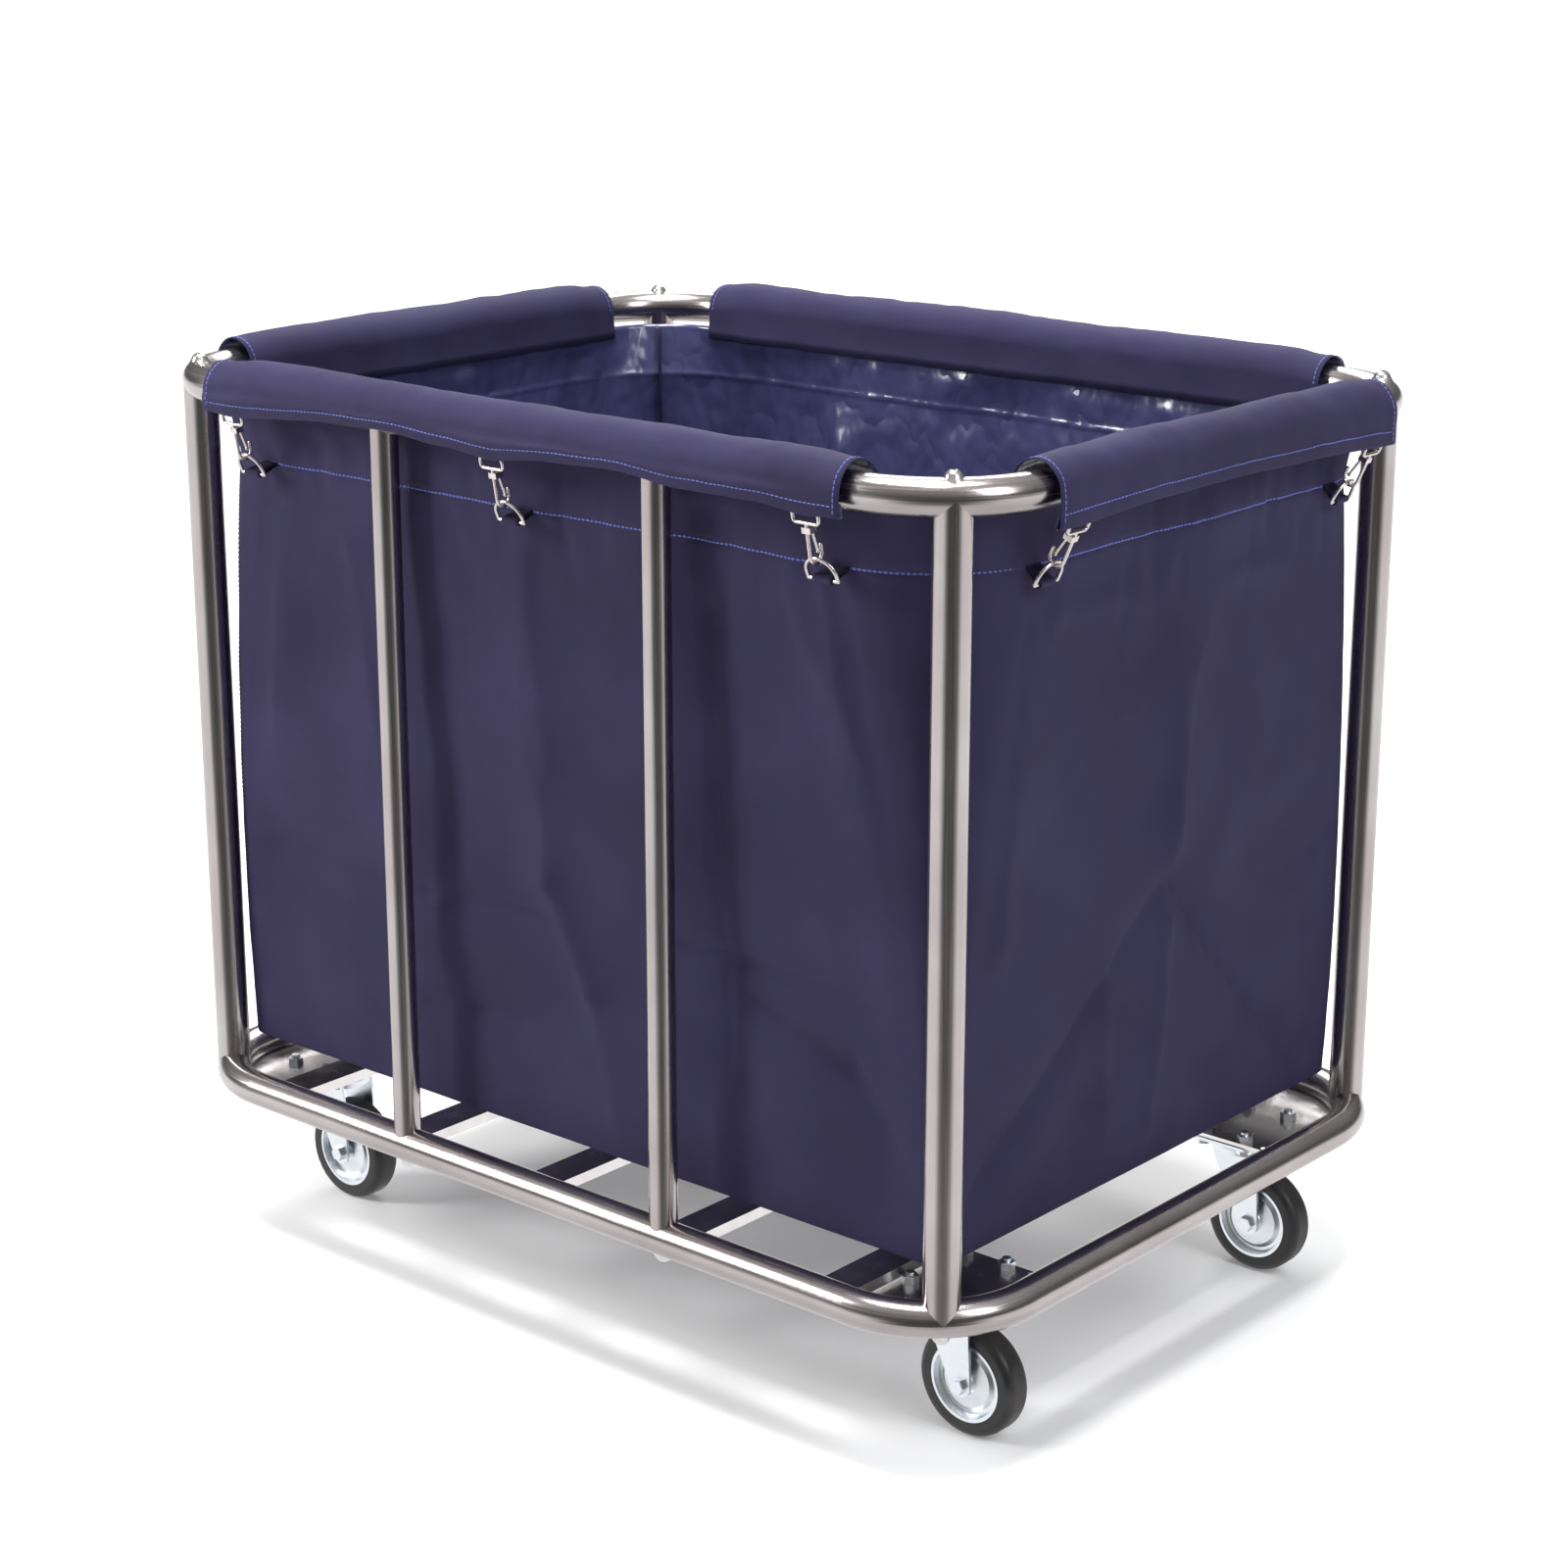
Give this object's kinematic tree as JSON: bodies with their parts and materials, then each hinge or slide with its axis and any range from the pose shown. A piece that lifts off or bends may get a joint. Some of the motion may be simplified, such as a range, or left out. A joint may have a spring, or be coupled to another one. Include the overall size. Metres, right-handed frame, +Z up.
{
  "type": "laundry cart",
  "caption": "Wheeled laundry cart: bent tube frame on swivel casters, with a hanging fabric bag whose flaps fold over the top rail and clip down.",
  "frame": {"origin": "on the floor under the middle of the cart", "axes": "+X along the cart's long side, +Y across it, +Z up"},
  "size_m": [0.9938, 0.7348, 0.854],
  "materials": {
    "stainless": "satin brushed stainless tube",
    "zinc": "bright zinc plated pressed steel",
    "screw_steel": "polished",
    "rubber": "matte black tyre rubber",
    "navy_fabric": "woven coated polyester",
    "wire": "nickel plated wire"
  },
  "bodies": {
    "cart": {"rail_bottom": "stainless", "rail_top": "stainless", "post_corner_1": "stainless", "post_corner_2": "stainless", "post_corner_3": "stainless", "post_corner_4": "stainless", "post_side_1": "stainless", "post_side_2": "stainless", "post_side_3": "stainless", "post_side_4": "stainless", "post_plugs": "zinc", "rail_screws": "screw_steel", "crossbar_1": "stainless", "crossbar_2": "stainless", "crossbar_3": "stainless", "crossbar_4": "stainless", "crossbar_5": "stainless", "corner_plates": "stainless", "caster_bolts": "zinc", "caster_nuts": "zinc", "caster_top_plates": "zinc", "caster_king_pins": "zinc", "bag_floor": "navy_fabric", "bag_front": "navy_fabric", "bag_right": "navy_fabric", "bag_back": "navy_fabric", "bag_left": "navy_fabric", "flap_front": "navy_fabric", "flap_right": "navy_fabric", "flap_back": "navy_fabric", "flap_left": "navy_fabric", "d_rings": "wire", "hook_bodies": "wire", "ring_tabs": "navy_fabric"},
    "caster_1_swivel": {"caster_1_fork": "zinc", "caster_1_axle": "zinc"},
    "caster_1_roller": {"caster_1_wheel_core": "zinc", "caster_1_tyre": "rubber"},
    "caster_2_swivel": {"caster_2_fork": "zinc", "caster_2_axle": "zinc"},
    "caster_2_roller": {"caster_2_wheel_core": "zinc", "caster_2_tyre": "rubber"},
    "caster_3_swivel": {"caster_3_fork": "zinc", "caster_3_axle": "zinc"},
    "caster_3_roller": {"caster_3_wheel_core": "zinc", "caster_3_tyre": "rubber"},
    "caster_4_swivel": {"caster_4_fork": "zinc", "caster_4_axle": "zinc"},
    "caster_4_roller": {"caster_4_wheel_core": "zinc", "caster_4_tyre": "rubber"},
    "hook_gate_1": {"hook_gate_1": "wire"},
    "hook_gate_2": {"hook_gate_2": "wire"},
    "hook_gate_3": {"hook_gate_3": "wire"},
    "hook_gate_4": {"hook_gate_4": "wire"},
    "hook_gate_5": {"hook_gate_5": "wire"},
    "hook_gate_6": {"hook_gate_6": "wire"},
    "hook_gate_7": {"hook_gate_7": "wire"},
    "hook_gate_8": {"hook_gate_8": "wire"},
    "hook_gate_9": {"hook_gate_9": "wire"},
    "hook_gate_10": {"hook_gate_10": "wire"}
  },
  "joints": [
    {"name": "caster_1_swivel", "type": "hinge", "parent": "cart", "child": "caster_1_swivel", "pos_m": [-0.39, -0.222, 0.12], "axis": [0, 0, 1], "continuous": true},
    {"name": "caster_1_roll", "type": "hinge", "parent": "caster_1_swivel", "child": "caster_1_roller", "pos_m": [-0.372, -0.222, 0.05], "axis": [0, 1, 0], "continuous": true},
    {"name": "caster_2_swivel", "type": "hinge", "parent": "cart", "child": "caster_2_swivel", "pos_m": [0.39, -0.222, 0.12], "axis": [0, 0, 1], "continuous": true},
    {"name": "caster_2_roll", "type": "hinge", "parent": "caster_2_swivel", "child": "caster_2_roller", "pos_m": [0.408, -0.222, 0.05], "axis": [0, 1, 0], "continuous": true},
    {"name": "caster_3_swivel", "type": "hinge", "parent": "cart", "child": "caster_3_swivel", "pos_m": [0.39, 0.222, 0.12], "axis": [0, 0, 1], "continuous": true},
    {"name": "caster_3_roll", "type": "hinge", "parent": "caster_3_swivel", "child": "caster_3_roller", "pos_m": [0.408, 0.222, 0.05], "axis": [0, 1, 0], "continuous": true},
    {"name": "caster_4_swivel", "type": "hinge", "parent": "cart", "child": "caster_4_swivel", "pos_m": [-0.39, 0.222, 0.12], "axis": [0, 0, 1], "continuous": true},
    {"name": "caster_4_roll", "type": "hinge", "parent": "caster_4_swivel", "child": "caster_4_roller", "pos_m": [-0.372, 0.222, 0.05], "axis": [0, 1, 0], "continuous": true},
    {"name": "hook_gate_1_pivot", "type": "hinge", "parent": "cart", "child": "hook_gate_1", "pos_m": [0.338, -0.3563, 0.79811], "axis": [-1, 0, 0], "range_deg": [0, 9], "stiffness_Nm_per_rad": 0.02, "springref_deg": -14.32},
    {"name": "hook_gate_2_pivot", "type": "hinge", "parent": "cart", "child": "hook_gate_2", "pos_m": [-0.006, -0.3563, 0.79811], "axis": [-1, 0, 0], "range_deg": [0, 9], "stiffness_Nm_per_rad": 0.02, "springref_deg": -14.32},
    {"name": "hook_gate_3_pivot", "type": "hinge", "parent": "cart", "child": "hook_gate_3", "pos_m": [-0.338, -0.3563, 0.79811], "axis": [-1, 0, 0], "range_deg": [0, 9], "stiffness_Nm_per_rad": 0.02, "springref_deg": -14.32},
    {"name": "hook_gate_4_pivot", "type": "hinge", "parent": "cart", "child": "hook_gate_4", "pos_m": [0.48242, 0.218, 0.79042], "axis": [0, -1, 0], "range_deg": [0, 9], "stiffness_Nm_per_rad": 0.02, "springref_deg": -14.32},
    {"name": "hook_gate_5_pivot", "type": "hinge", "parent": "cart", "child": "hook_gate_5", "pos_m": [0.48242, -0.218, 0.79042], "axis": [0, -1, 0], "range_deg": [0, 9], "stiffness_Nm_per_rad": 0.02, "springref_deg": -14.32},
    {"name": "hook_gate_6_pivot", "type": "hinge", "parent": "cart", "child": "hook_gate_6", "pos_m": [-0.338, 0.3563, 0.79811], "axis": [1, 0, 0], "range_deg": [0, 9], "stiffness_Nm_per_rad": 0.02, "springref_deg": -14.32},
    {"name": "hook_gate_7_pivot", "type": "hinge", "parent": "cart", "child": "hook_gate_7", "pos_m": [0.006, 0.3563, 0.79811], "axis": [1, 0, 0], "range_deg": [0, 9], "stiffness_Nm_per_rad": 0.02, "springref_deg": -14.32},
    {"name": "hook_gate_8_pivot", "type": "hinge", "parent": "cart", "child": "hook_gate_8", "pos_m": [0.338, 0.3563, 0.79811], "axis": [1, 0, 0], "range_deg": [0, 9], "stiffness_Nm_per_rad": 0.02, "springref_deg": -14.32},
    {"name": "hook_gate_9_pivot", "type": "hinge", "parent": "cart", "child": "hook_gate_9", "pos_m": [-0.48242, -0.218, 0.79042], "axis": [0, 1, 0], "range_deg": [0, 9], "stiffness_Nm_per_rad": 0.02, "springref_deg": -14.32},
    {"name": "hook_gate_10_pivot", "type": "hinge", "parent": "cart", "child": "hook_gate_10", "pos_m": [-0.48242, 0.218, 0.79042], "axis": [0, 1, 0], "range_deg": [0, 9], "stiffness_Nm_per_rad": 0.02, "springref_deg": -14.32}
  ]
}
